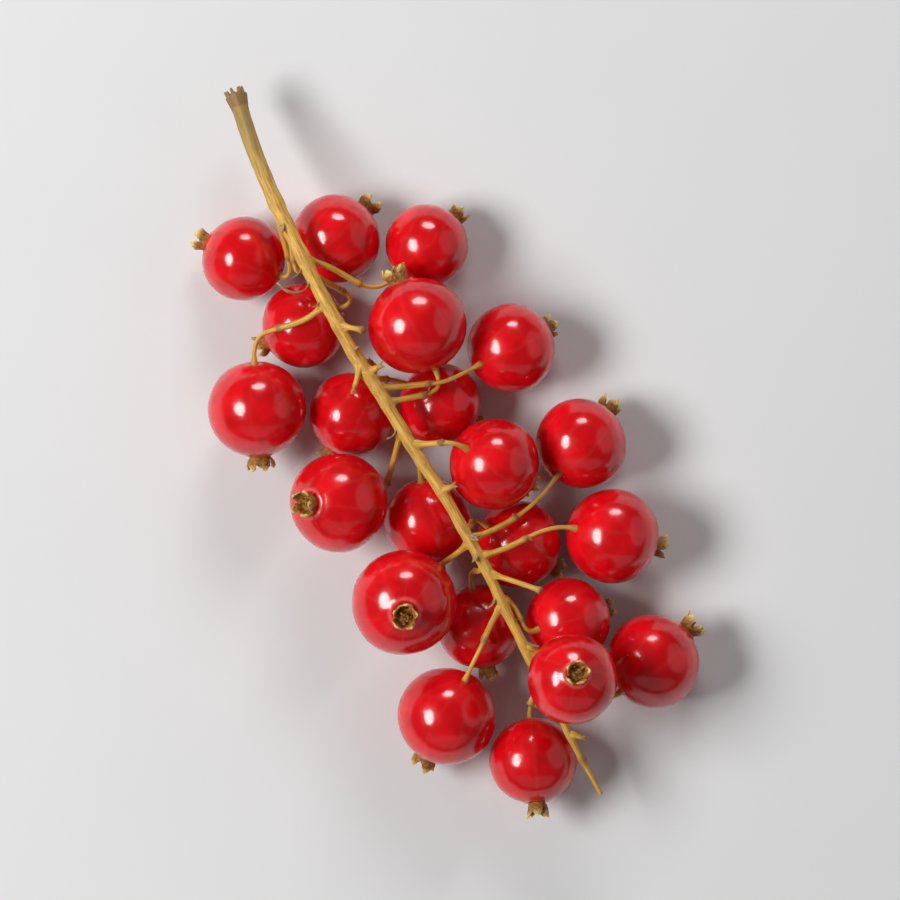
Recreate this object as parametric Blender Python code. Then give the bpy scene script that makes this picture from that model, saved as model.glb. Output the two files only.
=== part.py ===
"""A sprig of redcurrants, as picked, lying on a table.

One green-gold stalk carries round red berries on short side stalks. Each berry is dimpled where its
side stalk meets it, and ends in a dried, five-lobed calyx.

The layout is a plan in millimetres: +X runs along the main stalk from its picked end to its tip, +Y is
to its left and +Z is up, from the table at Z = 0. Meshes are made from it in metres.
"""

import math
import random
from collections import namedtuple

import bmesh
import bpy
import numpy as np
from mathutils import Matrix, Vector

MM = 0.001

# The middle of the whole sprig in the plan, which is put at the origin
CENTRE = (-2.94, 1.09, 0.0)

# Main stalk: points that its centre line passes through, picked end first
STALK_POINTS = (
    (-44.0, 1.0, 6.2),
    (-37.0, -0.3, 8.4),
    (-29.6, -1.0, 10.2),
    (-16.0, -1.4, 11.3),
    (-4.0, -0.9, 11.4),
    (10.0, -0.4, 11.1),
    (20.0, -0.9, 9.9),
    (29.5, -1.3, 8.2),
    (38.5, -1.5, 6.0),
)
# Its radius at those places along X
STALK_RADII = (
    (-44.0, 1.15),
    (-42.2, 0.86),
    (-25.0, 0.72),
    (0.0, 0.60),
    (20.0, 0.52),
    (29.0, 0.42),
    (38.5, 0.22),
)
STALK_SIDES = 10
STALK_STEP = 1.3

Row = namedtuple("Row", "node x y lift size heading tilt")
# Berries: the place along X where the side stalk leaves the main one, the berry's middle along X and
# Y, how high the berry is lifted off the table, its diameter, and which way its calyx end looks:
# its heading from +X towards +Y and its tilt upwards, in degrees
BERRIES = (
    Row(-32.0, -28.5, -6.6, 0.0, 9.0, -130, 0),
    Row(-29.5, -25.5, 3.4, 0.0, 9.4, 120, -10),
    Row(-25.5, -20.5, 9.8, 0.0, 8.8, 75, 10),
    Row(-24.5, -19.5, -5.4, 0.0, 9.0, -95, -15),
    Row(-8.2, -13.0, 5.8, 3.4, 10.4, 168, 10),
    Row(-20.5, -14.5, -11.8, 1.2, 10.4, -31, 5),
    Row(-10.0, -7.0, 13.0, 0.6, 9.4, 130, 5),
    Row(-14.5, -9.0, -4.6, 0.0, 9.0, -60, -20),
    Row(-11.5, -5.6, 3.6, 0.0, 8.8, 30, -25),
    Row(-5.0, -1.0, -9.6, 2.8, 10.4, -119, 50),
    Row(-3.2, 2.6, 5.4, 2.8, 9.6, 41, -35),
    Row(8.4, 6.2, 13.8, 0.8, 9.6, 110, 10),
    Row(-1.0, 4.0, -3.6, 0.0, 9.2, -20, -15),
    Row(8.6, 10.8, -9.6, 5.6, 11.0, -24, 78),
    Row(7.0, 11.8, 3.2, 0.0, 9.2, 30, -20),
    Row(10.4, 15.2, 11.3, 1.0, 10.0, 60, -10),
    Row(11.5, 17.6, -3.8, 0.0, 9.0, -30, -15),
    Row(15.4, 20.0, 5.4, 1.6, 9.0, 60, -35),
    Row(15.9, 23.4, -9.2, 0.6, 10.4, -53, -10),
    Row(21.0, 26.2, 1.6, 8.8, 9.4, 17, 70),
    Row(22.0, 28.6, 9.8, 0.2, 10.0, 83, 39),
    Row(27.5, 31.5, -3.0, 0.0, 9.4, -20, 5),
)
BERRY_SIDES = 16
BERRY_RINGS = 10
BERRY_OBLATE = 0.965
DIMPLE_RADIUS = 0.24
DIMPLE_DEPTH = 0.10
# How far a resting berry is flattened by the table
REST_FLAT = 0.16

# Dried calyx, in shares of the berry's radius
CALYX_LOBES = 5
CALYX_SINK = 0.12
CALYX_FOOT = 0.15
CALYX_NOTCH = 0.17
CALYX_LOBE = 0.27
CALYX_NOTCH_HEIGHT = 0.16
CALYX_HEIGHT = 0.34
CALYX_PIT_HEIGHT = 0.09

# Side stalks
SIDE_FOOT_RADIUS = 0.46
SIDE_RADIUS = 0.34
SIDE_HEAD_RADIUS = 0.48
SIDE_SIDES = 7
SIDE_STEPS = 10
SIDE_SHORTEST = 2.6
SIDE_LONGEST = 12.6
SIDE_PULLS = (0.38, 0.24, 0.55)
# Its lean towards the tip where it leaves, and how much it follows the way to its berry
SIDE_LEAN = 0.25
SIDE_FOLLOW = 0.6

Stub = namedtuple("Stub", "x way length lean")
# Bare stubs that berries have dropped from: the place along X, the way round the stalk in degrees
# from +Y up over the top, the length, and the lean towards the tip
STUBS = (
    Stub(-17.7, 38, 2.4, 0.7),
    Stub(-13.2, 150, 2.9, 0.9),
    Stub(-12.0, 25, 1.5, 0.1),
    Stub(2.6, 35, 1.6, 0.1),
    Stub(12.4, 24, 5.4, 0.9),
    Stub(24.5, 172, 2.6, 1.0),
    Stub(31.2, 20, 1.6, 0.9),
)
STUB_RADIUS = 0.34
STUB_HEAD_RADIUS = 0.46
STUB_SIDES = 6

# Clear room between one piece and the next, and between a berry and the side stalk in its dimple
GAP = 0.45
DIMPLE_GAP = 0.32
SETTLE_ROUNDS = 900
# Ways that a berry may face, spread over a whole ball
FACINGS = 500

BERRY_RED = (0.60, 0.012, 0.018, 1.0)
STALK_GOLD = (0.62, 0.42, 0.10, 1.0)


def smooth_line(points, step):
    """Points about one step apart on a smooth curve through the given ones."""
    p = np.array(points, float)
    p = np.vstack([2 * p[0] - p[1], p, 2 * p[-1] - p[-2]])
    line = []
    for a, b, c, d in zip(p[:-3], p[1:-2], p[2:-1], p[3:]):
        count = max(1, round(float(np.linalg.norm(c - b)) / step))
        for t in np.arange(count) / count:
            line.append(
                0.5 * (2 * b + (c - a) * t + (2 * a - 5 * b + 4 * c - d) * t * t
                       + (3 * b - a - 3 * c + d) * t ** 3)
            )
    line.append(p[-2])
    return np.array(line)


STALK_LINE = smooth_line(STALK_POINTS, STALK_STEP)
FINE_LINE = smooth_line(STALK_POINTS, STALK_STEP / 6)


def unit(v):
    return v / np.linalg.norm(v)


def stalk_radius(x):
    return float(np.interp(x, *zip(*STALK_RADII)))


def stalk_at(x):
    """The point of the main stalk's centre line at this X, and the way that the line runs there."""
    line = STALK_LINE
    point = np.array([x, *(np.interp(x, line[:, 0], line[:, k]) for k in (1, 2))])
    after = np.array([x + 1, *(np.interp(x + 1, line[:, 0], line[:, k]) for k in (1, 2))])
    before = np.array([x - 1, *(np.interp(x - 1, line[:, 0], line[:, k]) for k in (1, 2))])
    return point, unit(after - before)


def side_stalk_path(node_x, middle, radius, facing, pull):
    """The centre line of a side stalk, from the main stalk into the berry's dimple.

    facing points from the berry's middle to its calyx end, so the dimple is at the other side. pull is
    how far the path keeps its first and its last direction, as a share of its reach.
    """
    start, along = stalk_at(node_x)
    foot = middle - facing * (radius * (BERRY_OBLATE - DIMPLE_DEPTH) + DIMPLE_GAP)
    reach = foot - start
    ahead = float(reach @ along)
    far = float(np.linalg.norm(reach))
    leave = unit(unit(reach - ahead * along) + (SIDE_LEAN + SIDE_FOLLOW * ahead / far) * along)
    a, b, c, d = start, start + leave * pull * far, foot - facing * pull * far, foot
    t = np.linspace(0, 1, SIDE_STEPS + 1)[:, None]
    return (1 - t) ** 3 * a + 3 * t * (1 - t) ** 2 * b + 3 * t * t * (1 - t) * c + t ** 3 * d


def stub_path(stub):
    """The centre line of a bare stub, from inside the main stalk to its end."""
    start, along = stalk_at(stub.x)
    aside = unit(np.cross((0.0, 0.0, 1.0), along))
    above = np.cross(along, aside)
    way = math.radians(stub.way)
    out = unit(math.cos(way) * aside + math.sin(way) * above + stub.lean * along)
    whole = stub.length + stalk_radius(stub.x)
    return start + np.outer((0.0, 0.4, 0.75, 1.0), out) * whole


def stalk_balls():
    """Points on the main stalk and its stubs, and the stalk's radius at each."""
    stubs = [stub_path(stub) for stub in STUBS]
    points = np.vstack([FINE_LINE, *stubs])
    radii = [stalk_radius(x) for x in FINE_LINE[:, 0]] + [STUB_HEAD_RADIUS] * sum(map(len, stubs))
    return points, np.array(radii)


def settled_middles():
    """The berries' middles, after they have pushed one another and the main stalk apart.

    A berry that isn't lifted stays on the table, a little flattened.
    """
    radii = np.array([row.size / 2 for row in BERRIES])
    lift = np.array([row.lift for row in BERRIES])
    floor = radii - REST_FLAT
    lowest = np.where(lift > 0, floor + REST_FLAT + 0.05, floor)
    middles = np.array([(row.x, row.y, 0) for row in BERRIES]) + np.outer(floor + lift, (0, 0, 1))
    points, thick = stalk_balls()
    for _ in range(SETTLE_ROUNDS):
        away = middles[:, None] - middles[None]
        far = np.linalg.norm(away, axis=2)
        np.fill_diagonal(far, 99.0)
        short = np.maximum(0, radii[:, None] + radii + GAP - far)
        push = (away * (short / far / 2)[:, :, None]).sum(axis=1)
        away = middles[:, None] - points
        far = np.linalg.norm(away, axis=2)
        short = np.maximum(0, radii[:, None] + thick + GAP - far)
        worst = short.argmax(axis=1)
        each = np.arange(len(middles))
        push += away[each, worst] * (short / far)[each, worst][:, None]
        middles += 0.6 * push
        middles[:, 2] = np.where(lift > 0, np.maximum(middles[:, 2], lowest), floor)
    return middles, radii, lift == 0


def ball_directions(count):
    """Directions spread evenly over a ball, along a golden spiral."""
    k = np.arange(count) + 0.5
    z = 1 - 2 * k / count
    turn = k * math.pi * (3 - math.sqrt(5))
    level = np.sqrt(1 - z * z)
    return np.stack([level * np.cos(turn), level * np.sin(turn), z], axis=1)


def lack(room, points, others, widths=0.0):
    """By how much the nearest of the others is closer than the room asked for."""
    if not len(others):
        return 0.0
    away = points[:, None] - others
    far = np.sqrt(np.einsum("ijk,ijk->ij", away, away)) - widths
    return max(0.0, room - float(far.min()))


def faults_of(berry, own, others, stalk, paths, tips):
    """What is too near, too short or too long, in millimetres, where a berry faces this way.

    own, others and stalk are balls, each a pair of middles and radii. paths and tips are points of the
    side stalks and calyces that are in place already.
    """
    path, tip, wide = berry["path"], berry["tip"], berry["wide"]
    length = float(np.linalg.norm(np.diff(path, axis=0), axis=1).sum())
    faults = {
        "side stalk and berries": lack(SIDE_HEAD_RADIUS + GAP, path, *others),
        "side stalk and its berry": lack(SIDE_RADIUS + 0.1, path[:-1], *own),
        "side stalk and table": max(0.0, 0.8 - path[:, 2].min()),
        "side stalk too short": max(0.0, SIDE_SHORTEST - length),
        "side stalk too long": max(0.0, length - SIDE_LONGEST),
        "calyx and berries": lack(wide + GAP, tip, *others),
        "calyx and table": max(0.0, wide + 0.1 - tip[:, 2].min()),
        "calyx and stalk": lack(wide + GAP, tip, *stalk),
        "calyx and side stalks": lack(wide + SIDE_RADIUS + GAP, tip, paths),
        "side stalk and calyces": lack(wide + SIDE_RADIUS + GAP, path[2:], tips),
        "calyces": lack(2 * wide + GAP, tip, tips),
        "side stalks": 0.3 * lack(2 * SIDE_RADIUS + 0.2, path[4:], paths),
    }
    return {name: round(amount, 2) for name, amount in faults.items() if amount > 0.005}


def faced_berries():
    """For each berry its middle, radius, whether it rests, the way it faces, and its side stalk's path.

    A berry faces the way that its row asks for, or the nearest way in which its side stalk and its
    calyx are clear of everything else.
    """
    middles, radii, resting = settled_middles()
    stalk = stalk_balls()
    ways = ball_directions(FACINGS)
    placed = []
    for i, row in enumerate(BERRIES):
        heading, tilt = math.radians(row.heading), math.radians(row.tilt)
        level = math.cos(tilt)
        wanted = np.array([level * math.cos(heading), level * math.sin(heading), math.sin(tilt)])
        apart = np.arange(len(middles)) != i
        others = (middles[apart], radii[apart])
        own = (middles[i:i + 1], radii[i:i + 1])
        paths = np.array([point for berry in placed for point in berry["path"][4:]])
        tips = np.array([point for berry in placed for point in berry["tip"]])
        best = None
        for facing in [wanted, *ways[np.argsort(-(ways @ wanted))]]:
            for pull in SIDE_PULLS:
                berry = {
                    "facing": facing,
                    "path": side_stalk_path(row.node, middles[i], radii[i], facing, pull),
                    "tip": middles[i] + np.outer((1.1, 1.22, 1 + CALYX_HEIGHT), facing) * radii[i],
                    "wide": CALYX_LOBE * radii[i],
                }
                berry["faults"] = faults_of(berry, own, others, stalk, paths, tips)
                if best is None or sum(berry["faults"].values()) < sum(best["faults"].values()) - 1e-6:
                    best = berry
            if not best["faults"]:
                break
        placed.append({**best, "middle": middles[i], "radius": radii[i], "rests": bool(resting[i])})
    return placed


def new_material(name, colour, roughness):
    material = bpy.data.materials.new(name)
    material.use_nodes = True
    shader = material.node_tree.nodes["Principled BSDF"]
    shader.inputs["Base Color"].default_value = colour
    shader.inputs["Roughness"].default_value = roughness
    shader.inputs["Metallic"].default_value = 0.0
    return material


def new_object(name, bm, material=None):
    mesh = bpy.data.meshes.new(name)
    bmesh.ops.recalc_face_normals(bm, faces=bm.faces)
    bm.to_mesh(mesh)
    bm.free()
    mesh.shade_smooth()
    mesh.set_sharp_from_angle(angle=math.radians(50))
    if material:
        mesh.materials.append(material)
    obj = bpy.data.objects.new(name, mesh)
    bpy.context.scene.collection.objects.link(obj)
    return obj


def place(obj, middle=(0.0, 0.0, 0.0)):
    obj.location = (Vector(middle) - Vector(CENTRE)) * MM


def add_rings(bm, rings):
    """A closed skin over rings of points. A ring of one point closes an end."""
    made = [[bm.verts.new(p) for p in ring] for ring in rings]
    for low, high in zip(made, made[1:]):
        count = max(len(low), len(high))
        for k in range(count):
            n = (k + 1) % count
            corners = [low[k % len(low)], low[n % len(low)], high[n % len(high)], high[k % len(high)]]
            bm.faces.new(list(dict.fromkeys(corners)))


def tube(path, radii, sides):
    """A closed tube with a slightly domed end at either side, in metres."""
    path = np.array(path)
    along = np.gradient(path, axis=0)
    across = np.cross(along[0], (0.0, 0.3, 1.0))
    rings = []
    for point, way, radius in zip(path, along, radii):
        way = unit(way)
        across = unit(across - way * float(across @ way))
        over = np.cross(way, across)
        turns = 2 * math.pi * np.arange(sides) / sides
        ring = point + radius * (np.outer(np.cos(turns), across) + np.outer(np.sin(turns), over))
        rings.append(ring * MM)
    start = path[0] - unit(along[0]) * radii[0] * 0.45
    end = path[-1] + unit(along[-1]) * radii[-1] * 0.45
    bm = bmesh.new()
    add_rings(bm, [[start * MM], *rings, [end * MM]])
    return bm


def berry_skin():
    """A berry of radius 1 about its middle, its dimple at the bottom and its calyx end at the top."""
    rings = [[(0, 0, DIMPLE_DEPTH - BERRY_OBLATE)]]
    for k in range(BERRY_RINGS):
        angle = math.radians(-90 + 180 * (k + 0.62) / (BERRY_RINGS + 0.24))
        wide, high = math.cos(angle), BERRY_OBLATE * math.sin(angle)
        if high < 0 and wide < DIMPLE_RADIUS:
            high += DIMPLE_DEPTH * (1 - wide / DIMPLE_RADIUS) ** 2
        turns = [2 * math.pi * s / BERRY_SIDES for s in range(BERRY_SIDES)]
        rings.append([(wide * math.cos(t), wide * math.sin(t), high) for t in turns])
    rings.append([(0, 0, BERRY_OBLATE)])
    bm = bmesh.new()
    add_rings(bm, rings)
    return bm


def dried_calyx():
    """The dried calyx on top of a berry of radius 1: a short tube that opens into pointed lobes."""
    turns = [math.pi * s / CALYX_LOBES for s in range(2 * CALYX_LOBES)]

    def ring(wide_lobe, wide_notch, high_lobe, high_notch):
        wide = (wide_lobe, wide_notch)
        high = (high_lobe, high_notch)
        return [(wide[s % 2] * math.cos(t), wide[s % 2] * math.sin(t), BERRY_OBLATE + high[s % 2])
                for s, t in enumerate(turns)]

    bm = bmesh.new()
    add_rings(bm, [
        [(0, 0, BERRY_OBLATE - CALYX_SINK)],
        ring(CALYX_FOOT, CALYX_FOOT, -CALYX_SINK, -CALYX_SINK),
        ring(CALYX_FOOT, CALYX_FOOT * 0.9, 0.05, 0.05),
        ring(CALYX_LOBE, CALYX_NOTCH, CALYX_HEIGHT, CALYX_NOTCH_HEIGHT),
        [(0, 0, BERRY_OBLATE + CALYX_PIT_HEIGHT)],
    ])
    return bm


def apply_union(target, others):
    """Joins the other objects into the target with one Boolean, and removes them."""
    group = bpy.data.collections.new("to_join")
    bpy.context.scene.collection.children.link(group)
    for other in others:
        bpy.context.scene.collection.objects.unlink(other)
        group.objects.link(other)
    union = target.modifiers.new("union", "BOOLEAN")
    union.operation = "UNION"
    union.operand_type = "COLLECTION"
    union.collection = group
    union.solver = "EXACT"
    graph = bpy.context.evaluated_depsgraph_get()
    joined = bpy.data.meshes.new_from_object(target.evaluated_get(graph))
    target.modifiers.remove(union)
    joined.name = target.name
    target.data = joined
    for other in others:
        bpy.data.objects.remove(other)
    bpy.data.collections.remove(group)


def whole_berry():
    """The mesh that every berry is scaled from: the skin with its dried calyx joined on."""
    skin = new_object("whole_berry", berry_skin())
    apply_union(skin, [new_object("calyx", dried_calyx())])
    mesh = skin.data
    bpy.data.objects.remove(skin)
    return mesh


def turned_to(facing, spin):
    """The rotation that takes +Z to facing, after a turn about the berry's own axis."""
    return Vector(facing).to_track_quat("Z", "Y").to_matrix() @ Matrix.Rotation(spin, 3, "Z")


def make_berry(name, berry, mesh, spin, material):
    """One berry: the whole berry at its size, with a flat spot cut where it rests on the table."""
    bm = bmesh.new()
    bm.from_mesh(mesh)
    bmesh.ops.scale(bm, vec=Vector((1, 1, 1)) * float(berry["radius"]) * MM, verts=bm.verts)
    rotation = turned_to(berry["facing"], spin)
    if berry["rests"]:
        down = rotation.transposed() @ Vector((0, 0, -1))
        at = down * float(berry["middle"][2]) * MM
        parts = [*bm.verts, *bm.edges, *bm.faces]
        cut = bmesh.ops.bisect_plane(bm, geom=parts, plane_co=at, plane_no=down, clear_outer=True)
        rim = [e for e in cut["geom_cut"] if isinstance(e, bmesh.types.BMEdge)]
        bmesh.ops.edgenet_fill(bm, edges=rim)
    obj = new_object(name, bm, material)
    obj.rotation_euler = rotation.to_euler()
    place(obj, berry["middle"])


def side_radius(t):
    """The side stalk's radius at share t of its length: thick foot, thin neck, swollen head."""
    foot = SIDE_FOOT_RADIUS - SIDE_RADIUS
    head = SIDE_HEAD_RADIUS - SIDE_RADIUS
    return SIDE_RADIUS + foot * max(0.0, 1 - 4 * t) + head * max(0.0, 5 * t - 4)


def make_stalk(berries, material):
    """The main stalk with every side stalk and bare stub grown out of it, as one solid."""
    nodes = [row.node for row in BERRIES] + [stub.x for stub in STUBS]
    radii = []
    for x in STALK_LINE[:, 0]:
        swell = max(math.exp(-((x - node) / 0.9) ** 2) for node in nodes)
        radii.append(stalk_radius(x) * (1 + 0.14 * swell))
    stalk = new_object("stalk", tube(STALK_LINE, radii, STALK_SIDES), material)
    grown = []
    for berry in berries:
        share = np.linspace(0, 1, SIDE_STEPS + 1)
        bm = tube(berry["path"], [side_radius(t) for t in share], SIDE_SIDES)
        grown.append(new_object("side_stalk", bm))
    for stub in STUBS:
        radii = (STUB_RADIUS * 1.2, STUB_RADIUS, STUB_RADIUS, STUB_HEAD_RADIUS)
        grown.append(new_object("stub", tube(stub_path(stub), radii, STUB_SIDES)))
    apply_union(stalk, grown)
    place(stalk)


def main():
    for obj in list(bpy.data.objects):
        bpy.data.objects.remove(obj)
    red = new_material("berry", BERRY_RED, 0.12)
    gold = new_material("stalk", STALK_GOLD, 0.55)
    berries = faced_berries()
    make_stalk(berries, gold)
    mesh = whole_berry()
    draw = random.Random(7)
    for number, berry in enumerate(berries, 1):
        make_berry(f"berry_{number:02d}", berry, mesh, draw.uniform(0, 2 * math.pi), red)


main()
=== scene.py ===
"""The looks of a sprig of redcurrants that lies on a pale table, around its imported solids.

Shapes are planned in millimetres, as in the part's source: +X runs along the main stalk from its picked
end to its tip, +Y is to its left and +Z is up. Meshes are made from that in metres.
"""

import math
import random
from collections import namedtuple

import bmesh
import bpy
import numpy as np
from mathutils import Matrix, Vector, noise
from mathutils.bvhtree import BVHTree
from mathutils.kdtree import KDTree


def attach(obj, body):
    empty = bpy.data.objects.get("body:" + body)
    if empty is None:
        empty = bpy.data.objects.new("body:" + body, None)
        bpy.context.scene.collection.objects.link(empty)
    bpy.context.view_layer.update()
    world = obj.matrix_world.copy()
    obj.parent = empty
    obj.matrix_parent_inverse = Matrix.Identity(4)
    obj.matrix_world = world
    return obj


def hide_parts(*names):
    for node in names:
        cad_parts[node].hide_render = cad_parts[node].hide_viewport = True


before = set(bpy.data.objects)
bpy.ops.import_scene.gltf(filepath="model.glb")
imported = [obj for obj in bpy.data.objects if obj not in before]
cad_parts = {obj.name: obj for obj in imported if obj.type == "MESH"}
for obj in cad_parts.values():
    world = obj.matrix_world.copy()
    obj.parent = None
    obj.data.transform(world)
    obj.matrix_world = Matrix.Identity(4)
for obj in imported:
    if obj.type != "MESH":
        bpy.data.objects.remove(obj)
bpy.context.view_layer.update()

MM = 0.001

# The plan's point that lies at the frame's origin
CENTRE = np.array((-2.94, 1.09, 0.0))

# Main stalk, as in the part's source: its centre line, and its radius along X
STALK_POINTS = (
    (-44.0, 1.0, 6.2),
    (-37.0, -0.3, 8.4),
    (-29.6, -1.0, 10.2),
    (-16.0, -1.4, 11.3),
    (-4.0, -0.9, 11.4),
    (10.0, -0.4, 11.1),
    (20.0, -0.9, 9.9),
    (29.5, -1.3, 8.2),
    (38.5, -1.5, 6.0),
)
STALK_RADII = (
    (-44.0, 1.15),
    (-42.2, 0.86),
    (-25.0, 0.72),
    (0.0, 0.60),
    (20.0, 0.52),
    (29.0, 0.42),
    (38.5, 0.22),
)
STALK_STEP = 1.3
# The place along X where each berry's side stalk leaves the main one, berry_01 first
BERRY_NODES = (
    -32.0, -29.5, -25.5, -24.5, -8.2, -20.5, -10.0, -14.5, -11.5, -5.0, -3.2,
    8.4, -1.0, 8.6, 7.0, 10.4, 11.5, 15.4, 15.9, 21.0, 22.0, 27.5,
)
SIDE_PULLS = (0.38, 0.24, 0.55)
SIDE_LEAN = 0.25
SIDE_FOLLOW = 0.6
DIMPLE_GAP = 0.32

Stub = namedtuple("Stub", "x way length lean prongs")
# Bare stubs: the place along X, the way round the stalk in degrees from +Y up over the top, the
# length, the lean towards the tip, and the number of torn prongs at the end, 0 for a round knob
STUBS = (
    Stub(-17.7, 38, 2.4, 0.7, 0),
    Stub(-13.2, 150, 2.9, 0.9, 3),
    Stub(-12.0, 25, 1.5, 0.1, 2),
    Stub(2.6, 35, 1.6, 0.1, 2),
    Stub(12.4, 24, 5.4, 0.9, 0),
    Stub(24.5, 172, 2.6, 1.0, 0),
    Stub(31.2, 20, 1.6, 0.9, 2),
)

# Berry skin and calyx, in shares of the berry's radius
BERRY_OBLATE = 0.965
DIMPLE_RADIUS = 0.24
DIMPLE_DEPTH = 0.10
CALYX_LOBES = 5
CALYX_LOBE = 0.27
CALYX_HEIGHT = 0.34
CUP_RADIUS = 0.175
# Two lobe tips are further apart than this, in millimetres
TIPS_APART = 0.5
SKIN_SIDES = 72
SKIN_RINGS = 60
VEINS = 10
RIB = 0.0025
LUMP = 0.02
# The lip of skin round the calyx, the groove inside it and the puckers there
LIP_AT = 0.285
LIP_WIDTH = 0.035
LIP_HEIGHT = 0.018
GROOVE_AT = 0.22
GROOVE_WIDTH = 0.03
GROOVE_DEPTH = 0.012
PUCKER = 0.006
PUCKER_WIDTH = 0.08
# Sepals: points along and across each, and its thickness
SEPAL_LONG = 12
SEPAL_WIDE = 7
SEPAL_THICK = 0.036
WITHERED_PARTS = 6

# Sides of the stalk's tubes
MAIN_SIDES = 20
SIDE_SIDES = 12
SPIKE_SIDES = 7
# Places along X: the torn end, a dry nodule, the longest bract, and where the stalk turns old
HEEL_X = -43.6
NODULE_X = 34.3
LONG_BRACT_X = -23.2
OLD_X = -31.0
HEEL_FIBRES = 7
BRACT_LONG = 12
BRACT_WIDE = 5

# Grid cells for fusing: the stalk's in millimetres, the calyx's in shares of the berry's radius
STALK_VOXEL = 0.08
CALYX_VOXEL = 0.01

# The picture's right and up in the frame: the camera looks straight down, rolled
PICTURE_RIGHT = Vector((0.49, 0.872, 0.0)).normalized()
PICTURE_UP = Vector((-0.872, 0.49, 0.0)).normalized()
PICTURE_SPAN = 0.095
PICTURE_MIDDLE = PICTURE_RIGHT * 0.0022 - PICTURE_UP * 0.0013
CAMERA_HEIGHT = 0.9
SENSOR = 36.0
LIGHT_DISTANCE = 0.6
FLOOR_SIDE = 1.5
FLOOR_LOW = -0.00003
# How far from the sprig the floor starts to fade into the backdrop, and where it has done so
FADE_START = 0.08
FADE_END = 0.40
STUDIO_LIGHT = 0.08
BACKDROP = 0.72
BACKDROP_COLOUR = (0.95, 0.97, 1.0, 1)


def unit(v):
    return v / np.linalg.norm(v)


def smooth_line(points, step):
    """Points about one step apart on a smooth curve through the given ones."""
    p = np.array(points, float)
    p = np.vstack([2 * p[0] - p[1], p, 2 * p[-1] - p[-2]])
    line = []
    for a, b, c, d in zip(p[:-3], p[1:-2], p[2:-1], p[3:]):
        count = max(1, round(float(np.linalg.norm(c - b)) / step))
        for t in np.arange(count) / count:
            line.append(
                0.5 * (2 * b + (c - a) * t + (2 * a - 5 * b + 4 * c - d) * t * t
                       + (3 * b - a - 3 * c + d) * t ** 3)
            )
    line.append(p[-2])
    return np.array(line)


STALK_LINE = smooth_line(STALK_POINTS, STALK_STEP)


def stalk_radius(x):
    return np.interp(x, *zip(*STALK_RADII))


def stalk_at(x):
    """The point of the main stalk's centre line at this X, and the way that the line runs there."""
    before, point, after = (
        np.array([x + k, *(np.interp(x + k, STALK_LINE[:, 0], STALK_LINE[:, j]) for j in (1, 2))])
        for k in (-1, 0, 1)
    )
    return point, unit(after - before)


# Mesh building


class Shell:
    """Closed surfaces that are gathered into one mesh."""

    def __init__(self):
        self.points = []
        self.faces = []

    def add(self, points, faces):
        base = len(self.points)
        self.points.extend(tuple(p) for p in points)
        self.faces.extend(tuple(base + k for k in face) for face in faces)

    def mesh(self, name):
        mesh = bpy.data.meshes.new(name)
        mesh.from_pydata(self.points, [], self.faces)
        mesh.update()
        return mesh


def frames_along(path):
    """At each point of a path, the way it runs and two ways across it that turn as little as can be."""
    along = np.gradient(path, axis=0)
    along /= np.linalg.norm(along, axis=1)[:, None]
    across = np.cross(along[0], (0.05, 0.3, 1.0))
    ways = []
    for way in along:
        across = unit(across - way * float(across @ way))
        ways.append(across)
    across = np.array(ways)
    return along, across, np.cross(along, across)


def ring_faces(rings, sides):
    """Faces of a skin over rings of points, with point 0 before them and one more point after them."""
    faces = []
    last = 1 + rings * sides
    for s in range(sides):
        n = (s + 1) % sides
        faces.append((0, 1 + n, 1 + s))
        for r in range(rings - 1):
            low, high = 1 + r * sides, 1 + (r + 1) * sides
            faces.append((low + s, low + n, high + n, high + s))
        low = 1 + (rings - 1) * sides
        faces.append((low + s, low + n, last))
    return faces


def add_tube(shell, path, radii, sides, ridges=0.0):
    """A closed tube with domed ends. ridges is how far it swells at five places round it."""
    path = np.asarray(path, float)
    radii = np.asarray(radii, float)
    along, across, over = frames_along(path)
    turns = 2 * math.pi * np.arange(sides) / sides
    wide = radii[:, None] * (1 + ridges * np.cos(5 * turns))
    rings = (path[:, None] + (wide * np.cos(turns))[:, :, None] * across[:, None]
             + (wide * np.sin(turns))[:, :, None] * over[:, None])
    start = path[0] - along[0] * radii[0] * 0.5
    end = path[-1] + along[-1] * radii[-1] * 0.5
    shell.add([start, *rings.reshape(-1, 3), end], ring_faces(len(path), sides))


def add_sheet(shell, grid, thick):
    """A closed sheet of that thickness round a grid of points, thinner at its edges."""
    long, wide = grid.shape[:2]
    normal = np.cross(np.gradient(grid, axis=0), np.gradient(grid, axis=1))
    normal /= np.linalg.norm(normal, axis=2)[:, :, None] + 1e-12
    edge = 0.55 + 0.45 * np.sin(np.linspace(0, math.pi, wide))
    half = normal * (thick / 2 * edge)[None, :, None]
    points = [*(grid + half).reshape(-1, 3), *(grid - half).reshape(-1, 3)]
    back = long * wide
    faces = []
    for i in range(long - 1):
        for j in range(wide - 1):
            a, b = i * wide + j, i * wide + j + 1
            c, d = b + wide, a + wide
            faces.append((a, b, c, d))
            faces.append((back + d, back + c, back + b, back + a))
    rim = list(range(wide))
    rim += [i * wide + wide - 1 for i in range(1, long)]
    rim += [(long - 1) * wide + j for j in range(wide - 2, -1, -1)]
    rim += [i * wide for i in range(long - 2, 0, -1)]
    for a, b in zip(rim, rim[1:] + rim[:1]):
        faces.append((b, a, back + a, back + b))
    shell.add(points, faces)


def points_of(mesh):
    found = np.zeros(len(mesh.vertices) * 3, np.float32)
    mesh.vertices.foreach_get("co", found)
    return found.reshape(-1, 3).astype(float)


def put_points(mesh, points):
    mesh.vertices.foreach_set("co", np.asarray(points, np.float32).ravel())
    mesh.update()


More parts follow.
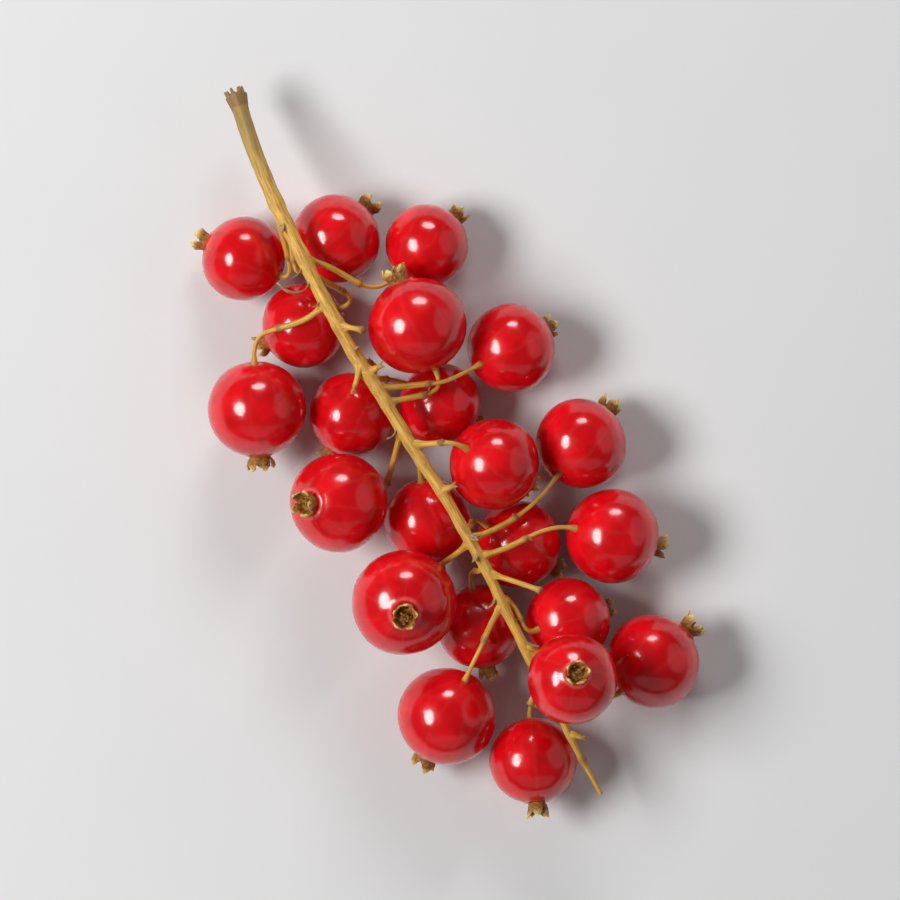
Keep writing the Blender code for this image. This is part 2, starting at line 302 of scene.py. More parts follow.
def fused(mesh, voxel, smoothing, kept):
    """The mesh's closed surfaces grown together into one, on a grid of that voxel.

    kept is the share of its triangles that stay, with more of them where it bends.
    """
    carrier = bpy.data.objects.new("carrier", mesh)
    bpy.context.scene.collection.objects.link(carrier)
    remesh = carrier.modifiers.new("remesh", "REMESH")
    remesh.mode = "VOXEL"
    remesh.voxel_size = voxel
    smooth = carrier.modifiers.new("smooth", "SMOOTH")
    smooth.factor = 0.5
    smooth.iterations = smoothing
    thin = carrier.modifiers.new("thin", "DECIMATE")
    thin.ratio = kept
    graph = bpy.context.evaluated_depsgraph_get()
    result = bpy.data.meshes.new_from_object(carrier.evaluated_get(graph))
    bpy.data.objects.remove(carrier)
    bpy.data.meshes.remove(mesh)
    keep_largest(result)
    return result


def keep_largest(mesh):
    """Removes the crumbs that thin edges leave when they are fused."""
    beside = [[] for _ in mesh.vertices]
    for edge in mesh.edges:
        a, b = edge.vertices
        beside[a].append(b)
        beside[b].append(a)
    group = [0] * len(beside)
    sizes = [0]
    for start in range(len(beside)):
        if group[start]:
            continue
        sizes.append(0)
        group[start] = len(sizes) - 1
        waiting = [start]
        while waiting:
            at = waiting.pop()
            sizes[-1] += 1
            for near in beside[at]:
                if not group[near]:
                    group[near] = group[start]
                    waiting.append(near)
    largest = max(range(len(sizes)), key=sizes.__getitem__)
    bm = bmesh.new()
    bm.from_mesh(mesh)
    bm.verts.ensure_lookup_table()
    crumbs = [bm.verts[k] for k, number in enumerate(group) if number != largest]
    bmesh.ops.delete(bm, geom=crumbs, context="VERTS")
    bm.to_mesh(mesh)
    bm.free()


def note(mesh, name, values):
    """Keeps one number, or one vector, for each vertex of the mesh."""
    values = np.asarray(values, np.float32)
    kind, field = ("FLOAT_VECTOR", "vector") if values.ndim == 2 else ("FLOAT", "value")
    mesh.attributes.new(name, kind, "POINT").data.foreach_set(field, values.ravel())


def add_piece(name, mesh, material, replaced):
    """A visible piece: it rides on the sprig's one body and stands for that CAD node."""
    mesh.name = name
    mesh.materials.clear()
    mesh.materials.append(material)
    mesh.shade_smooth()
    piece = bpy.data.objects.new(name, mesh)
    bpy.context.scene.collection.objects.link(piece)
    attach(piece, "root")
    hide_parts(replaced)
    return piece


# Materials


class Paint:
    """A material's nodes, made and joined in short lines."""

    def __init__(self, name):
        self.material = bpy.data.materials.new(name)
        self.material.use_nodes = True
        self.tree = self.material.node_tree
        self.shader = self.tree.nodes["Principled BSDF"]

    def node(self, kind, inputs=None, **settings):
        made = self.tree.nodes.new(kind)
        for key, value in settings.items():
            setattr(made, key, value)
        for key, value in (inputs or {}).items():
            self.feed(made.inputs[key], value)
        return made

    def feed(self, socket, value):
        if isinstance(value, bpy.types.NodeSocket):
            self.tree.links.new(value, socket)
        else:
            socket.default_value = value

    def kept(self, name, vector=False):
        made = self.node("ShaderNodeAttribute", attribute_name=name)
        return made.outputs["Vector" if vector else "Fac"]

    def math(self, operation, a, b=0.0, c=0.0):
        made = self.node("ShaderNodeMath", {0: a, 1: b, 2: c}, operation=operation)
        return made.outputs[0]

    def ramp(self, value, low, high, out_low=0.0, out_high=1.0):
        """value, brought smoothly from low..high to out_low..out_high."""
        inputs = {"Value": value, "From Min": low, "From Max": high, "To Min": out_low, "To Max": out_high}
        made = self.node("ShaderNodeMapRange", inputs, interpolation_type="SMOOTHSTEP")
        return made.outputs["Result"]

    def noise(self, vector, scale, detail=2.0, rough=0.5):
        inputs = {"Vector": vector, "Scale": scale, "Detail": detail, "Roughness": rough}
        return self.node("ShaderNodeTexNoise", inputs).outputs["Fac"]

    def mix(self, share, a, b):
        made = self.node("ShaderNodeMix", data_type="RGBA")
        for key, value in ((0, share), (6, a), (7, b)):
            self.feed(made.inputs[key], value)
        return made.outputs[2]

    def bump(self, height, strength, distance):
        inputs = {"Height": height, "Strength": strength, "Distance": distance}
        self.feed(self.shader.inputs["Normal"], self.node("ShaderNodeBump", inputs).outputs["Normal"])

    def set(self, **values):
        for key, value in values.items():
            self.feed(self.shader.inputs[key.replace("_", " ")], value)


def berry_material():
    """Ripe skin: deep red and glossy, with faint pale veins, darker patches where seeds lie, and a painted
    highlight on the lip round the calyx.
    """
    paint = Paint("berry_skin")
    local = paint.kept("local", vector=True)
    axes = paint.node("ShaderNodeSeparateXYZ", {0: local}).outputs
    wander = paint.math("MULTIPLY_ADD", paint.noise(local, 2.0), 0.3, -0.15)
    turn = paint.math("ADD", paint.math("ARCTAN2", axes[1], axes[0]), wander)
    wave = paint.math("ABSOLUTE", paint.math("COSINE", paint.math("MULTIPLY", turn, VEINS / 2)))
    vein = paint.math("POWER", wave, 34.0)
    blotch = paint.ramp(paint.noise(local, 1.7, 3.0), 0.35, 0.68)
    red = paint.mix(blotch, (0.60, 0.002, 0.006, 1), (0.76, 0.004, 0.010, 1))
    seeds = paint.node("ShaderNodeTexVoronoi", {"Vector": local, "Scale": 1.9}, feature="F1")
    seed = paint.ramp(seeds.outputs["Distance"], 0.16, 0.34, 0.35, 0.0)
    red = paint.mix(seed, red, (0.42, 0.004, 0.005, 1))
    red = paint.mix(paint.math("MULTIPLY", vein, 0.10), red, (0.86, 0.09, 0.08, 1))
    # Painted highlight: the lip round the calyx is painted paler pink, standing in for the glints that it
    # catches.
    lip = paint.ramp(paint.kept("lip"), 0.0, 1.0, 0.0, 0.55)
    red = paint.mix(lip, red, (0.86, 0.22, 0.20, 1))
    # Small pale pink dots scattered over the skin, a little rougher than the rest of it.
    pale_dots = paint.node("ShaderNodeTexVoronoi", {"Vector": local, "Scale": 5.5}, feature="F1")
    few = paint.ramp(paint.node("ShaderNodeSeparateColor", {0: pale_dots.outputs["Color"]}).outputs[0], 0.90, 0.92)
    speck = paint.math("MULTIPLY", paint.ramp(pale_dots.outputs["Distance"], 0.05, 0.085, 1.0, 0.0), few)
    red = paint.mix(speck, red, (0.86, 0.22, 0.17, 1))
    fine = paint.noise(local, 7.0, 3.0, 0.4)
    gloss = paint.ramp(paint.noise(local, 3.1, 4.0), 0.35, 0.7, 0.16, 0.26)
    paint.set(Base_Color=red, Roughness=paint.math("ADD", gloss, paint.math("MULTIPLY", speck, 0.4)))
    paint.set(IOR=1.42, Subsurface_Weight=0.9, Subsurface_Radius=(1.0, 0.10, 0.08), Subsurface_Scale=0.0035)
    paint.set(Coat_Weight=0.5, Coat_Roughness=0.07, Coat_IOR=1.5)
    height = paint.math("ADD", paint.math("MULTIPLY", vein, 0.1), fine)
    paint.bump(height, 0.35, 0.00007)
    return paint.material


def stalk_material():
    """Golden stalk: fine fibres along it, olive-brown at the picked end, browner at its knuckles."""
    paint = Paint("stalk_skin")
    fibre = paint.kept("fibre", vector=True)
    thread = paint.noise(fibre, 2.6, 5.0, 0.65)
    patch = paint.noise(fibre, 0.35, 3.0)
    gold = paint.mix(paint.ramp(thread, 0.32, 0.66), (0.42, 0.17, 0.02, 1), (0.89, 0.54, 0.09, 1))
    gold = paint.mix(paint.ramp(patch, 0.45, 0.7, 0.0, 0.4), gold, (0.60, 0.42, 0.09, 1))
    old = paint.mix(thread, (0.16, 0.09, 0.025, 1), (0.42, 0.30, 0.09, 1))
    gold = paint.mix(paint.kept("age"), gold, old)
    grain = paint.ramp(paint.noise(fibre, 16.0, 3.0, 0.6), 0.42, 0.72, 0.0, 0.35)
    gold = paint.mix(grain, gold, (0.50, 0.25, 0.04, 1))
    dry = paint.math("MULTIPLY", paint.kept("dry"), paint.ramp(thread, 0.25, 0.6, 0.55, 1.0))
    gold = paint.mix(dry, gold, (0.27, 0.13, 0.04, 1))
    paint.set(Base_Color=gold, Roughness=paint.ramp(thread, 0.2, 0.8, 0.62, 0.42))
    paint.set(Subsurface_Weight=0.12, Subsurface_Radius=(1.0, 0.6, 0.25), Subsurface_Scale=0.0004)
    paint.bump(thread, 0.5, 0.00012)
    return paint.material


def calyx_material():
    """Dried flower end: straw-gold at the torn rims, and brown below and inside."""
    paint = Paint("calyx_dry")
    local = paint.kept("local", vector=True)
    streak = paint.noise(local, 22.0, 5.0, 0.7)
    brown = paint.mix(paint.ramp(streak, 0.35, 0.65), (0.18, 0.065, 0.012, 1), (0.50, 0.24, 0.045, 1))
    rim = paint.math("MULTIPLY", paint.kept("rim"), paint.ramp(streak, 0.25, 0.6, 0.45, 1.0))
    brown = paint.mix(rim, brown, (0.90, 0.66, 0.22, 1))
    inside = paint.mix(paint.ramp(streak, 0.35, 0.65), (0.20, 0.06, 0.005, 1), (0.58, 0.23, 0.02, 1))
    brown = paint.mix(paint.kept("deep"), brown, inside)
    paint.set(Base_Color=brown, Roughness=paint.ramp(streak, 0.2, 0.8, 0.85, 0.6))
    paint.bump(streak, 0.8, 0.0001)
    return paint.material


def bract_material():
    """Papery brown scales at the feet of side stalks."""
    paint = Paint("bract_dry")
    local = paint.kept("local", vector=True)
    streak = paint.noise(local, 3.0, 5.0, 0.7)
    brown = paint.mix(paint.ramp(streak, 0.3, 0.7), (0.20, 0.10, 0.035, 1), (0.58, 0.40, 0.17, 1))
    paint.set(Base_Color=brown, Roughness=0.75)
    paint.bump(streak, 0.6, 0.0001)
    return paint.material


# Berries

Berry = namedtuple("Berry", "name middle radius axes rests")


def read_berry(name):
    """A berry's middle and radius in plan, and its own axes, from its CAD calyx's five lobe tips."""
    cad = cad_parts[name].data
    points = points_of(cad) / MM
    areas = [face.area for face in cad.polygons]
    inside = np.average([face.center for face in cad.polygons], axis=0, weights=areas) / MM
    tips = []
    for point in points[np.argsort(-np.linalg.norm(points - inside, axis=1))]:
        if all(np.linalg.norm(point - tip) > TIPS_APART for tip in tips):
            tips.append(point)
        if len(tips) == CALYX_LOBES:
            break
    tips = np.array(tips)
    hub = tips.mean(axis=0)
    spokes = tips - hub
    axis = np.linalg.svd(spokes)[2][2]
    axis = axis * np.sign(axis @ (hub - inside))
    radius = np.linalg.norm(spokes, axis=1).mean() / CALYX_LOBE
    middle = hub - axis * radius * (BERRY_OBLATE + CALYX_HEIGHT)
    across = unit(spokes[0] - axis * (spokes[0] @ axis))
    axes = np.array([across, np.cross(axis, across), axis])
    return Berry(name, middle + CENTRE, radius, axes, bool(points[:, 2].min() < 0.01))


def in_frame(berry, local):
    """Points in a berry's own axes and radius, brought to metres in the frame."""
    return (berry.middle - CENTRE + berry.radius * local @ berry.axes) * MM


def lip_share(wide):
    """How far up the lip round the calyx a place is, from how far it lies off the berry's axis."""
    return np.exp(-((wide - LIP_AT) / LIP_WIDTH) ** 2)


def skin_points(seed):
    """A berry's skin in its own axes: dimple at the bottom, a low lip round the calyx at the top."""
    share = np.linspace(0, 1, SKIN_RINGS + 2)
    angle = math.pi * (share - 0.45 * np.sin(2 * math.pi * share) / (2 * math.pi)) - math.pi / 2
    wide, high = np.cos(angle), BERRY_OBLATE * np.sin(angle)
    dimple = np.clip(1 - wide / DIMPLE_RADIUS, 0, 1) ** 2 * (high < 0)
    lip = lip_share(wide) * (high > 0)
    groove = np.exp(-((wide - GROOVE_AT) / GROOVE_WIDTH) ** 2) * (high > 0)
    high = high + DIMPLE_DEPTH * dimple + LIP_HEIGHT * lip - GROOVE_DEPTH * groove
    turn = 2 * math.pi * np.arange(SKIN_SIDES) / SKIN_SIDES
    rib = 1 + RIB * np.cos(VEINS * turn) * (wide[:, None] ** 2)
    near_calyx = np.exp(-((wide - GROOVE_AT) / PUCKER_WIDTH) ** 2) * (high > 0)
    pucker = PUCKER * np.cos(VEINS * turn + 0.6 * np.cos(3 * turn)) * near_calyx[:, None]
    points = np.stack([
        wide[:, None] * rib * np.cos(turn),
        wide[:, None] * rib * np.sin(turn),
        high[:, None] + pucker,
    ], axis=2)
    points = np.vstack([points[0, :1], points[1:-1].reshape(-1, 3), points[-1, :1]])
    offset = Vector((seed * 7.3, seed * 3.1, seed * 1.7))
    lumps = [LUMP * noise.noise(Vector(p) * 1.1 + offset) for p in points]
    return points * (1 + np.array(lumps))[:, None]


def make_skin(berry, seed, material):
    shell = Shell()
    local = skin_points(seed)
    shell.add(local, ring_faces(SKIN_RINGS, SKIN_SIDES))
    mesh = shell.mesh("skin")
    note(mesh, "local", local)
    wide = np.linalg.norm(local[:, :2], axis=1)
    # The lip's share also paints the skin paler pink there in the material, a painted highlight.
    note(mesh, "lip", lip_share(wide) * (local[:, 2] > 0))
    placed = in_frame(berry, local)
    if berry.rests:
        placed[:, 2] = np.maximum(placed[:, 2], 0.0)
    put_points(mesh, placed)
    add_piece(berry.name.replace("berry", "skin"), mesh, material, berry.name)


def sepal_grid(turn, draw):
    """One dried sepal in the berry's own axes: it stands up from the cup's rim and curls at its tip."""
    reach = CALYX_LOBE * draw.uniform(0.84, 1.06)
    tall = CALYX_HEIGHT * draw.uniform(0.84, 1.02)
    curl = draw.uniform(-0.05, 0.07)
    twist = draw.uniform(-0.35, 0.35)
    t = np.linspace(0, 1, SEPAL_LONG)
    out = CUP_RADIUS + (reach - CUP_RADIUS) * t ** 1.2 + curl * np.sin(math.pi * t) ** 2
    high = BERRY_OBLATE - 0.02 + (tall + 0.02) * t ** 0.9 - 0.07 * np.clip(t - 0.72, 0, 1) ** 1.2
    torn = np.array([draw.uniform(-1, 1) for _ in t])
    half = (0.112 * (1 - t ** 2.4) + 0.016 + 0.016 * np.sin(math.pi * t)) * (1 + 0.22 * t * torn)
    side = np.linspace(-1, 1, SEPAL_WIDE)
    radial = np.array([math.cos(turn), math.sin(turn), 0.0])
    level = np.array([-math.sin(turn), math.cos(turn), 0.0])
    grid = np.zeros((SEPAL_LONG, SEPAL_WIDE, 3))
    for i in range(SEPAL_LONG):
        for j, s in enumerate(side):
            cup = -0.035 * s * s * (1 - 0.5 * t[i])
            edge = half[i] * s
            bend = twist * t[i] * edge
            crumple = 0.026 * draw.uniform(-1, 1) * t[i]
            grid[i, j] = radial * (out[i] + cup + bend + crumple) + level * edge
            grid[i, j, 2] = high[i] + 0.012 * draw.uniform(-1, 1) * t[i]
    return grid


def calyx_shell(draw):
    """The dried calyx in the berry's own axes: cup, five sepals, and the withered flower inside."""
    shell = Shell()
    top = BERRY_OBLATE
    cup = [(0, 0, z) for z in (top - 0.07, top - 0.01, top + 0.03)]
    add_tube(shell, cup, np.array((0.95, 1.0, 0.8)) * CUP_RADIUS, 20, 0.05)
    for k in range(CALYX_LOBES):
        turn = 2 * math.pi * k / CALYX_LOBES + draw.uniform(-0.07, 0.07)
        add_sheet(shell, sepal_grid(turn, draw), SEPAL_THICK)
        between = turn + math.pi / CALYX_LOBES
        foot = np.array([math.cos(between), math.sin(between), 0]) * CUP_RADIUS * 0.85 + (0, 0, top)
        lean = np.array([math.cos(between), math.sin(between), 0.0]) * draw.uniform(0.0, 0.06)
        lean = lean + (0, 0, draw.uniform(0.10, 0.19))
        add_tube(shell, [foot, foot + lean * 0.5, foot + lean], (0.03, 0.028, 0.02), 8)
    for _ in range(WITHERED_PARTS):
        turn = draw.uniform(0, 2 * math.pi)
        foot = np.array([0.08 * math.cos(turn), 0.08 * math.sin(turn), top])
        tip = foot + (draw.uniform(-0.05, 0.05), draw.uniform(-0.05, 0.05), draw.uniform(0.12, 0.26))
        bend = (foot + tip) / 2 + (draw.uniform(-0.03, 0.03), draw.uniform(-0.03, 0.03), 0)
        add_tube(shell, [foot, bend, tip], (0.02, 0.016, 0.024), 7)
    return shell


def make_calyx(berry, seed, material):
    draw = random.Random(100 + seed)
    mesh = fused(calyx_shell(draw).mesh("calyx"), CALYX_VOXEL, 1, 0.45)
    local = points_of(mesh)
    wide = np.linalg.norm(local[:, :2], axis=1)
    high = local[:, 2] - BERRY_OBLATE
    note(mesh, "local", local)
    note(mesh, "rim", np.clip((high - 0.14) / 0.12, 0, 1) * np.clip((wide - 0.195) / 0.05, 0, 1))
    normals = np.array([v.normal for v in mesh.vertices])
    outward = (normals[:, :2] * local[:, :2]).sum(axis=1) / (wide + 1e-6)
    inner = np.clip((0.24 - wide) / 0.04, 0, 1) * np.clip((0.34 - high) / 0.10, 0, 1)
    note(mesh, "deep", inner * np.clip(0.6 - 1.5 * outward, 0, 1))
    put_points(mesh, in_frame(berry, local))
    add_piece(berry.name.replace("berry", "calyx"), mesh, material, berry.name)


# Stalk

Strand = namedtuple("Strand", "path radii dry sides")


def side_stalk_curve(node_x, berry, pull, count):
    """The centre line of a side stalk, from the main stalk's into the berry's dimple."""
    start, along = stalk_at(node_x)
    facing = berry.axes[2]
    foot = berry.middle - facing * (berry.radius * (BERRY_OBLATE - DIMPLE_DEPTH) + DIMPLE_GAP)
    reach = foot - start
    ahead = float(reach @ along)
    far = float(np.linalg.norm(reach))
    leave = unit(unit(reach - ahead * along) + (SIDE_LEAN + SIDE_FOLLOW * ahead / far) * along)
    a, b, c, d = start, start + leave * pull * far, foot - facing * pull * far, foot
    t = np.linspace(0, 1, count)[:, None]
    return (1 - t) ** 3 * a + 3 * t * (1 - t) ** 2 * b + 3 * t * t * (1 - t) * c + t ** 3 * d


def best_pull(node_x, berry, solid):
    """The pull that puts a side stalk's centre line inside the CAD stalk's own side stalk."""
    def misfit(pull):
        path = side_stalk_curve(node_x, berry, pull, 11)[4:-1]
        away = [solid.find_nearest(Vector((p - CENTRE) * MM))[3] / MM for p in path]
        return sum(abs(a - 0.33) for a in away)

    return min(SIDE_PULLS, key=misfit)


def side_strand(node_x, berry, solid, draw):
    """A side stalk: flared foot, thick lower half, a knuckle, a thin neck and a swollen head."""
    path = side_stalk_curve(node_x, berry, best_pull(node_x, berry, solid), 44)
    facing = berry.axes[2]
    path = np.vstack([path, path[-1] + facing * 0.2, path[-1] + facing * 0.42])
    t = np.linspace(0, 1, len(path))
    sway = Vector((draw.uniform(0, 50), draw.uniform(0, 50), 0))
    for i, share in enumerate(t):
        way = noise.noise_vector(Vector((share * 2.6, 0, 0)) + sway)
        path[i] += np.array(way) * 0.16 * math.sin(math.pi * share)
    run = np.concatenate([[0], np.cumsum(np.linalg.norm(np.diff(path, axis=0), axis=1))])
    knuckle_at = draw.uniform(0.40, 0.52)
    knuckle = np.exp(-((t - knuckle_at) * run[-1] / 0.34) ** 2)
    neck = 1 / (1 + np.exp(-(t - knuckle_at) * run[-1] / 0.25))
    radii = 0.32 - 0.08 * neck + 0.12 * knuckle
    radii += 0.24 * np.exp(-((run - 0.5) / 0.6) ** 2)
    radii += 0.20 * np.clip((run - run[-1] + 1.7) / 1.4, 0, 1) ** 1.8
    dry = 0.75 * knuckle + 0.5 * np.clip((run - run[-1] + 1.4) / 1.2, 0, 1)
    return Strand(path, radii, dry, SIDE_SIDES), path[round(knuckle_at * len(path))]


def spike(start, way, length, radius, dry):
    """A short pointed strand."""
    path = start + np.outer((0.0, 0.5, 1.0), unit(way)) * length
    return Strand(path, radius * np.array((1.2, 0.95, 0.45)), np.full(3, dry), SPIKE_SIDES)


def stub_strands(stub, draw):
    """A bare stub: torn prongs at its end, or the round knob that a berry's own side stalk leaves."""
    start, along = stalk_at(stub.x)
    aside = unit(np.cross((0.0, 0.0, 1.0), along))
    above = np.cross(along, aside)
    way = math.radians(stub.way)
    out = unit(math.cos(way) * aside + math.sin(way) * above + stub.lean * along)
    whole = stub.length + stalk_radius(stub.x)
    share = np.linspace(0, 1, 14)
    bend = np.outer(np.sin(share * math.pi) * 0.14, np.cross(out, along))
    path = start + np.outer(share, out) * whole + bend
    run = share * whole
    radii = 0.29 + 0.22 * np.exp(-((run - 0.5) / 0.5) ** 2)
    dry = 0.9 * np.clip((run - whole + 0.8) / 0.8, 0, 1)
    if not stub.prongs:
        radii += 0.17 * np.exp(-((run - whole) / 0.45) ** 2)
        return [Strand(path, radii, dry, SIDE_SIDES)]
    strands = [Strand(path[:-3], radii[:-3], dry[:-3], SIDE_SIDES)]
    for k in range(stub.prongs):
        turn = 2 * math.pi * k / stub.prongs + draw.uniform(-0.4, 0.4)
        splay = math.cos(turn) * along + math.sin(turn) * np.cross(out, along)
        length = whole * 0.12 + draw.uniform(0.35, 0.75)
        strands.append(spike(path[-5], out + splay * draw.uniform(0.25, 0.6), length, 0.17, 0.6))
    return strands


def main_strand():
    """The main stalk, with a little swelling at each node and a dry nodule near its tip."""
    path = smooth_line(STALK_POINTS, 0.28)
    nodes = np.array([*BERRY_NODES, *(stub.x for stub in STUBS)])
    swell = np.exp(-((path[:, :1] - nodes) / 0.9) ** 2).max(axis=1)
    rough = np.array([noise.noise(Vector((x * 0.9, 0, 3.0))) for x in path[:, 0]])
    radii = stalk_radius(path[:, 0]) * (1 + 0.14 * swell + 0.05 * rough)
    path[:, 1] += [0.22 * noise.noise(Vector((x * 0.16, 5.0, 0))) for x in path[:, 0]]
    nodule = np.exp(-((path[:, 0] - NODULE_X) / 0.55) ** 2)
    radii += 0.14 * nodule
    return Strand(path, radii, 0.12 * swell + 0.8 * nodule, MAIN_SIDES)


def heel_strands(draw):
    """Torn fibres at the picked end."""
    start, along = stalk_at(HEEL_X)
    aside = unit(np.cross((0.0, 0.0, 1.0), along))
    above = np.cross(along, aside)
    strands = []
    for k in range(HEEL_FIBRES):
        turn = 2 * math.pi * k / HEEL_FIBRES
        out = math.cos(turn) * aside + math.sin(turn) * above
        foot = start + out * 0.62
        strands.append(spike(foot, -along + out * draw.uniform(0.05, 0.5), draw.uniform(0.8, 1.7), 0.27, 0.8))
    return strands


def make_stalk(berries, material):
    """The whole stalk fused into one skin, with the run of its fibres kept for the material."""
    solid = BVHTree.FromObject(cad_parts["stalk"], bpy.context.evaluated_depsgraph_get())
    draw = random.Random(11)
    strands = [main_strand(), *heel_strands(draw)]
    knuckles = []
    for node_x, berry in zip(BERRY_NODES, berries):
        strand, knuckle = side_strand(node_x, berry, solid, draw)
        strands.append(strand)
        for _ in range(2):
            way = np.array([draw.uniform(-1, 1) for _ in range(3)])
            strands.append(spike(knuckle, way, draw.uniform(0.55, 0.85), 0.15, 0.9))
    for stub in STUBS:
        strands.extend(stub_strands(stub, draw))
    shell = Shell()
    for strand in strands:
        ridges = 0.05 if strand.sides == MAIN_SIDES else 0.0
        add_tube(shell, strand.path, strand.radii, strand.sides, ridges)
    mesh = fused(shell.mesh("stalk"), STALK_VOXEL, 2, 0.5)
    note_fibres(mesh, strands)
    put_points(mesh, (points_of(mesh) - CENTRE) * MM)
    add_piece("stalk_skin", mesh, material, "stalk")


def note_fibres(mesh, strands):
    """Keeps how far each point is along and round its strand, how old it is there and how dry."""
    tree = KDTree(sum(len(strand.path) for strand in strands))
    rows = []
    for number, strand in enumerate(strands):
        frames = frames_along(strand.path)
        run = np.concatenate([[0], np.cumsum(np.linalg.norm(np.diff(strand.path, axis=0), axis=1))])
        for i, point in enumerate(strand.path):
            tree.insert(Vector(point), len(rows))
            rows.append((point, frames[0][i], frames[1][i], frames[2][i], run[i], strand.dry[i], number))
    tree.balance()
    fibre, dry = [], []
    points = points_of(mesh)
    for p in points:
        point, along, across, over, run, dryness, number = rows[tree.find(Vector(p))[1]]
        away = p - point
        turn = math.atan2(float(away @ over), float(away @ across))
        run += float(away @ along)
        fibre.append((math.cos(turn) * 1.6 + number * 5.0, math.sin(turn) * 1.6, run * 0.16))
        dry.append(dryness)
    note(mesh, "fibre", fibre)
    note(mesh, "dry", np.clip(dry, 0, 1))
    note(mesh, "age", np.clip((OLD_X - points[:, 0]) / 10.0, 0, 1) * 0.85)


def bract_grid(x, way, length, width, curl, draw):
    """A papery scale that stands off the main stalk, curling as it goes."""
    start, along = stalk_at(x)
    aside = unit(np.cross((0.0, 0.0, 1.0), along))
    above = np.cross(along, aside)
    turn = math.radians(way)
    out = math.cos(turn) * aside + math.sin(turn) * above
    level = np.cross(along, out)
    foot = start + out * stalk_radius(x) * 0.7
    grid = np.zeros((BRACT_LONG, BRACT_WIDE, 3))
    for i, t in enumerate(np.linspace(0, 1, BRACT_LONG)):
        bend = 0.5 + curl * t
        run = length * t
        centre = foot + (out * math.sin(bend) + along * math.cos(bend)) * run
        half = width / 2 * (math.sin(math.pi * min(1, t * 0.8 + 0.2)) + 0.08)
        for j, s in enumerate(np.linspace(-1, 1, BRACT_WIDE)):
            cup = out * 0.22 * width * s * s
            grid[i, j] = centre + level * half * s + cup + 0.03 * draw.uniform(-1, 1) * above
    return grid


def make_bracts(material):
    """Small dry scales at the feet of some side stalks, and one longer, curled one."""
    draw = random.Random(5)
    shell = Shell()
    add_sheet(shell, bract_grid(LONG_BRACT_X, 165, 3.4, 0.9, 1.5, draw), 0.12)
    for node_x in BERRY_NODES[1::2]:
        way = draw.choice((20, 60, 120, 160))
        length = draw.uniform(0.9, 1.6)
        add_sheet(shell, bract_grid(node_x - 0.5, way, length, 0.6, draw.uniform(0.1, 0.9), draw), 0.11)
    mesh = shell.mesh("bracts")
    local = points_of(mesh)
    note(mesh, "local", local)
    put_points(mesh, (local - CENTRE) * MM)
    add_piece("bracts", mesh, material, "stalk")


# Stage


def make_floor():
    """A pale table. To the camera, it fades into the backdrop further off."""
    mesh = bpy.data.meshes.new("floor")
    side = FLOOR_SIDE
    low = FLOOR_LOW
    corners = [(-side, -side, low), (side, -side, low), (side, side, low), (-side, side, low)]
    mesh.from_pydata(corners, [], [(0, 1, 2, 3)])
    paint = Paint("floor")
    place = paint.node("ShaderNodeTexCoord").outputs["Object"]
    shade = paint.mix(paint.noise(place, 40.0, 4.0), (0.74, 0.74, 0.74, 1), (0.78, 0.78, 0.78, 1))
    far = paint.node("ShaderNodeVectorMath", {0: place}, operation="LENGTH").outputs["Value"]
    seen = paint.node("ShaderNodeLightPath").outputs["Is Camera Ray"]
    faded = paint.math("MULTIPLY", paint.ramp(far, FADE_START, FADE_END), seen)
    shade = paint.mix(faded, shade, (0, 0, 0, 1))
    paint.set(Base_Color=shade, Roughness=0.8, Specular_IOR_Level=0.0)
    paint.set(Emission_Color=BACKDROP_COLOUR, Emission_Strength=paint.math("MULTIPLY", faded, BACKDROP))
    mesh.materials.append(paint.material)
    floor = bpy.data.objects.new("floor", mesh)
    bpy.context.scene.collection.objects.link(floor)


def picture_way(right, up, nearer):
    """A direction given in the picture: to its right, up in it, and towards the camera."""
    return (PICTURE_RIGHT * right + PICTURE_UP * up + Vector((0, 0, 1)) * nearer).normalized()


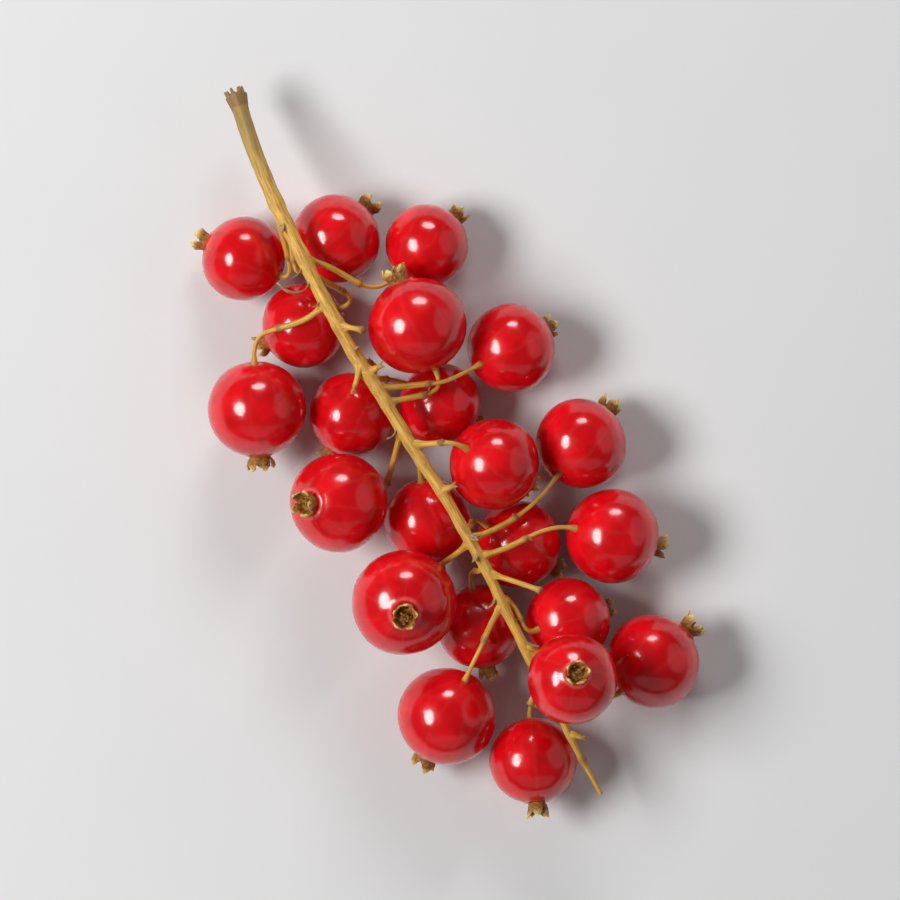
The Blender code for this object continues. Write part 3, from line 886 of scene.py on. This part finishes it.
def make_light(name, way, width, height, power, shape="RECTANGLE"):
    """A soft box that faces the sprig. width and height are the angles that it fills, in degrees."""
    light = bpy.data.lights.new(name, "AREA")
    light.shape = shape
    light.size = 2 * LIGHT_DISTANCE * math.tan(math.radians(width / 2))
    light.size_y = 2 * LIGHT_DISTANCE * math.tan(math.radians(height / 2))
    light.energy = power
    lamp = bpy.data.objects.new(name, light)
    bpy.context.scene.collection.objects.link(lamp)
    right = PICTURE_UP.cross(way).normalized()
    up = way.cross(right)
    turn = Matrix((right, up, way)).transposed().to_4x4()
    lamp.matrix_world = Matrix.Translation(way * LIGHT_DISTANCE) @ turn


def make_lights():
    make_light("key", picture_way(-0.672, 0.0, 0.741), 21, 31, 3.2, "ELLIPSE")
    make_light("top", picture_way(0.07, 0.853, 0.517), 25, 16, 1.3, "ELLIPSE")
    make_light("right", picture_way(0.88, 0.16, 0.42), 52, 58, 0.36, "ELLIPSE")
    make_light("low", picture_way(0.05, -0.87, 0.48), 88, 36, 0.30, "ELLIPSE")
    bpy.context.scene.view_settings.view_transform = "Standard"


def make_world():
    """A dim studio, which shows pale behind the floor."""
    world = bpy.data.worlds.new("studio")
    world.use_nodes = True
    nodes, links = world.node_tree.nodes, world.node_tree.links
    background = nodes["Background"]
    background.inputs["Color"].default_value = BACKDROP_COLOUR
    seen = nodes.new("ShaderNodeMapRange")
    seen.inputs["To Min"].default_value = STUDIO_LIGHT
    seen.inputs["To Max"].default_value = BACKDROP
    links.new(nodes.new("ShaderNodeLightPath").outputs["Is Camera Ray"], seen.inputs["Value"])
    links.new(seen.outputs["Result"], background.inputs["Strength"])
    bpy.context.scene.world = world


def make_camera():
    camera = bpy.data.cameras.new("camera")
    camera.sensor_width = SENSOR
    camera.lens = SENSOR * CAMERA_HEIGHT / PICTURE_SPAN
    eye = bpy.data.objects.new("camera", camera)
    bpy.context.scene.collection.objects.link(eye)
    turn = Matrix((PICTURE_RIGHT, PICTURE_UP, Vector((0, 0, 1)))).transposed().to_4x4()
    eye.matrix_world = Matrix.Translation(PICTURE_MIDDLE + Vector((0, 0, CAMERA_HEIGHT))) @ turn
    bpy.context.scene.camera = eye


def main():
    make_camera()
    make_floor()
    make_lights()
    make_world()
    berries = [read_berry(f"berry_{k:02d}") for k in range(1, len(BERRY_NODES) + 1)]
    skin = berry_material()
    dried = calyx_material()
    for seed, berry in enumerate(berries, 1):
        make_skin(berry, seed, skin)
        make_calyx(berry, seed, dried)
    make_stalk(berries, stalk_material())
    make_bracts(bract_material())


main()
